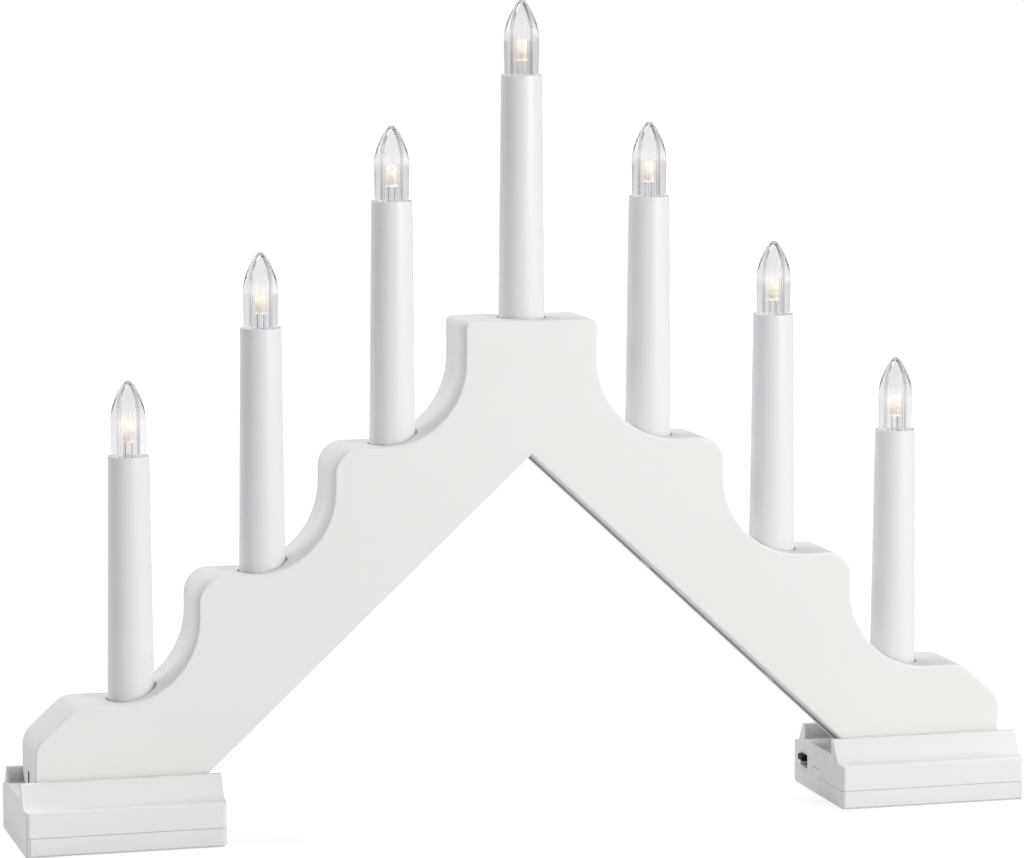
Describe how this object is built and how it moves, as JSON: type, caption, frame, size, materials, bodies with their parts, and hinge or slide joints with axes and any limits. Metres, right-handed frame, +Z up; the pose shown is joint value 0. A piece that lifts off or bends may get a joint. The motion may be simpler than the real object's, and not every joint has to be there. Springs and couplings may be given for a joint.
{
  "type": "candle arch",
  "caption": "Stepped white candle arch standing on battery boxes, with tapered candle tubes, clear flame caps over lit LEDs, a slide switch and hinged battery doors.",
  "frame": {"origin": "on the floor, under the middle of the arch", "axes": "+X to the right along the arch, +Y to the back, +Z up"},
  "size_m": [0.4134, 0.0606, 0.3283],
  "materials": {
    "painted_wood": "satin white paint",
    "candle_plastic": "satin",
    "clear_plastic": "clear gloss",
    "led_lens": "clear warm white, lit",
    "holder_plastic": "matte",
    "box_plastic": "fine matte",
    "cell_can": "gloss sleeve",
    "contact_metal": "nickel plated",
    "switch_plastic": "matte",
    "circuit_board": "solder mask",
    "wire_cover": "smooth"
  },
  "bodies": {
    "arch": {"arch_board": "painted_wood", "candle_tube_1": "candle_plastic", "flame_cap_1": "clear_plastic", "led_1": "led_lens", "led_holder_1": "holder_plastic", "candle_tube_2": "candle_plastic", "flame_cap_2": "clear_plastic", "led_2": "led_lens", "led_holder_2": "holder_plastic", "candle_tube_3": "candle_plastic", "flame_cap_3": "clear_plastic", "led_3": "led_lens", "led_holder_3": "holder_plastic", "candle_tube_4": "candle_plastic", "flame_cap_4": "clear_plastic", "led_4": "led_lens", "led_holder_4": "holder_plastic", "candle_tube_5": "candle_plastic", "flame_cap_5": "clear_plastic", "led_5": "led_lens", "led_holder_5": "holder_plastic", "candle_tube_6": "candle_plastic", "flame_cap_6": "clear_plastic", "led_6": "led_lens", "led_holder_6": "holder_plastic", "candle_tube_7": "candle_plastic", "flame_cap_7": "clear_plastic", "led_7": "led_lens", "led_holder_7": "holder_plastic", "battery_housing_left": "box_plastic", "battery_cells_left": "cell_can", "contact_strips_left": "contact_metal", "foot_screws_left": "contact_metal", "battery_housing_right": "box_plastic", "battery_cells_right": "cell_can", "contact_strips_right": "contact_metal", "foot_screws_right": "contact_metal", "switch_body": "contact_metal", "timer_board": "circuit_board", "wire_harness": "wire_cover", "battery_leads": "wire_cover"},
    "switch_knob": {"switch_knob": "switch_plastic"},
    "left_door": {"battery_door_left": "box_plastic"},
    "right_door": {"battery_door_right": "box_plastic"}
  },
  "joints": [
    {"name": "switch_slide", "type": "slide", "parent": "arch", "child": "switch_knob", "axis": [0, 0, -1], "range_m": [0, 0.0026]},
    {"name": "left_door_hinge", "type": "hinge", "parent": "arch", "child": "left_door", "pos_m": [-0.2067, 0, 0], "axis": [0, 1, 0], "range_deg": [0, 60]},
    {"name": "right_door_hinge", "type": "hinge", "parent": "arch", "child": "right_door", "pos_m": [0.2067, 0, 0], "axis": [0, -1, 0], "range_deg": [0, 60]}
  ]
}
